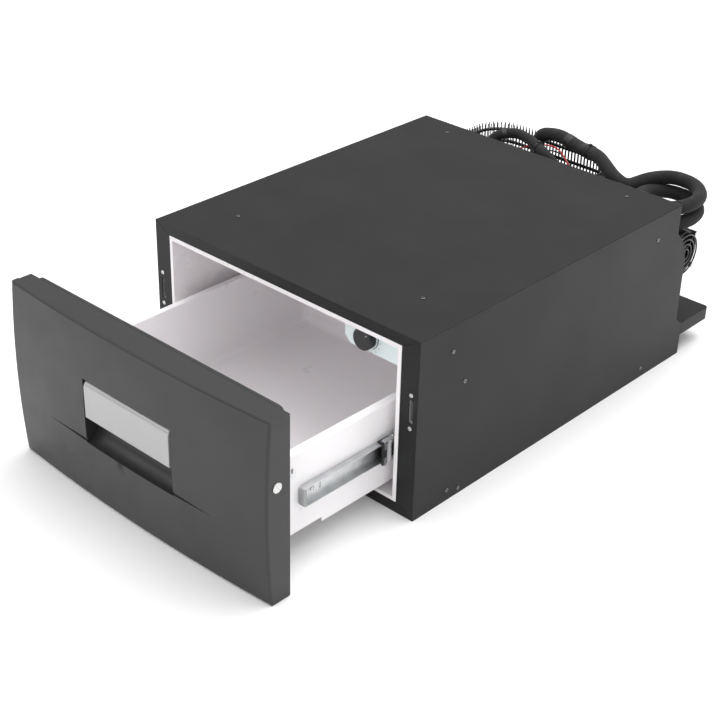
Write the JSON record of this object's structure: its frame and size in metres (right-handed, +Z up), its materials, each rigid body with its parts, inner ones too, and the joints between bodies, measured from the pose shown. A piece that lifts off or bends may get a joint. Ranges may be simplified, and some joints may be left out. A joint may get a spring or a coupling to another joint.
{
  "type": "compressor cooler fridge",
  "caption": "Pull-out drawer fridge: insulated steel cabinet, white tub on ball slides, latched bowed front, and an open rear tray with compressor, wire condenser and fan.",
  "frame": {"origin": "centre of the cabinet's underside, half way between its front plane and its rear edge", "axes": "+X to the right seen from the front, +Y to the rear, +Z up"},
  "size_m": [0.442, 0.8596, 0.242],
  "materials": {
    "cabinet_paint": "dark grey powder coat, satin",
    "zinc_sheet": "zinc-plated sheet",
    "liner_white": "vacuum-formed white, soft gloss",
    "tub_white": "moulded white, soft gloss",
    "foam": "rigid polyurethane foam",
    "black_screw": "blackened steel",
    "bright_steel": "zinc-plated, bright",
    "slide_steel": "rolled zinc-plated steel",
    "black_plastic": "moulded black",
    "plate_aluminium": "roll-bond plate",
    "pale_plastic": "pale moulded plastic",
    "switch_grey": "moulded grey",
    "copper": "drawn copper, slightly dulled",
    "black_enamel": "black enamel, semi-gloss",
    "foot_rubber": "matte",
    "brass_terminal": "plain",
    "hose_foam": "closed-cell foam, matte",
    "lead_red": "insulated wire",
    "lead_black": "insulated wire",
    "front_grey": "moulded dark grey, fine texture",
    "gasket_rubber": "soft profile",
    "handle_silver": "silver-grey lacquer, satin"
  },
  "bodies": {
    "cabinet": {"base_pan": "cabinet_paint", "compressor_base": "zinc_sheet", "compressor_shell": "black_enamel", "condenser_brackets": "zinc_sheet", "condenser_tube": "black_enamel", "condenser_wires": "black_enamel", "discharge_line": "copper", "evaporator": "plate_aluminium", "fan_bracket": "zinc_sheet", "fan_frame": "black_plastic", "fan_guard": "black_enamel", "fan_lead_black": "lead_black", "fan_lead_red": "lead_red", "fan_screws": "bright_steel", "filter_drier": "copper", "foot_bolts": "bright_steel", "front_frame": "cabinet_paint", "hose_ties": "black_plastic", "housing_screws": "black_screw", "insulation": "foam", "liner": "liner_white", "liquid_line": "copper", "loom_hose": "hose_foam", "outer_rail_screws": "bright_steel", "outer_rails": "slide_steel", "outer_wrap": "cabinet_paint", "power_module": "black_plastic", "rear_brackets": "cabinet_paint", "rear_panel": "zinc_sheet", "rubber_feet": "foot_rubber", "strike_plates": "zinc_sheet", "suction_hose": "hose_foam", "terminal_screws": "brass_terminal", "thermostat_box": "pale_plastic", "thermostat_probe": "copper", "thermostat_switch": "switch_grey", "unit_tray": "cabinet_paint", "zinc_screws": "bright_steel"},
    "drawer": {"front_cover": "front_grey", "front_panel": "liner_white", "front_foam": "foam", "gasket": "gasket_rubber", "tub": "tub_white", "front_screws": "bright_steel", "inner_rails": "slide_steel", "inner_rail_screws": "bright_steel", "rail_bumpers": "pale_plastic", "pivot_pins": "bright_steel", "handle_springs": "bright_steel"},
    "handle": {"handle": "handle_silver"},
    "latch": {"latch_shaft": "slide_steel", "latch_hooks": "slide_steel"},
    "ball_cage_right": {"ball_cage_right": "slide_steel", "cage_stop_right": "black_plastic", "balls_right": "bright_steel"},
    "ball_cage_left": {"ball_cage_left": "slide_steel", "cage_stop_left": "black_plastic", "balls_left": "bright_steel"},
    "thermostat_knob": {"thermostat_knob": "black_plastic"},
    "fan_rotor": {"fan_rotor": "black_plastic"}
  },
  "joints": [
    {"name": "drawer_slide", "type": "slide", "parent": "cabinet", "child": "drawer", "axis": [0, -1, 0], "range_m": [-0.188, 0.134]},
    {"name": "handle_pull", "type": "hinge", "parent": "drawer", "child": "handle", "pos_m": [0, -0.4846, 0.1575], "axis": [-1, 0, 0], "range_deg": [0, 15], "stiffness_Nm_per_rad": 0.8, "springref_deg": -14.32},
    {"name": "latch_turn", "type": "hinge", "parent": "drawer", "child": "latch", "pos_m": [0, -0.469, 0.151], "axis": [-1, 0, 0], "range_deg": [0, 20]},
    {"name": "cage_roll_right", "type": "slide", "parent": "cabinet", "child": "ball_cage_right", "axis": [0, -1, 0], "range_m": [-0.095, 0.068]},
    {"name": "cage_roll_left", "type": "slide", "parent": "cabinet", "child": "ball_cage_left", "axis": [0, -1, 0], "range_m": [-0.095, 0.068]},
    {"name": "thermostat_turn", "type": "hinge", "parent": "cabinet", "child": "thermostat_knob", "pos_m": [0.1205, -0.237, 0.1965], "axis": [0, -1, 0], "range_deg": [-45, 225]},
    {"name": "fan_spin", "type": "hinge", "parent": "cabinet", "child": "fan_rotor", "pos_m": [0.198, 0.292, 0.152], "axis": [1, 0, 0], "continuous": true}
  ],
  "couplings": [
    {"joint": "latch_turn", "follows": "handle_pull", "ratio": 1.295},
    {"joint": "cage_roll_right", "follows": "drawer_slide", "ratio": 0.5},
    {"joint": "cage_roll_left", "follows": "drawer_slide", "ratio": 0.5}
  ]
}
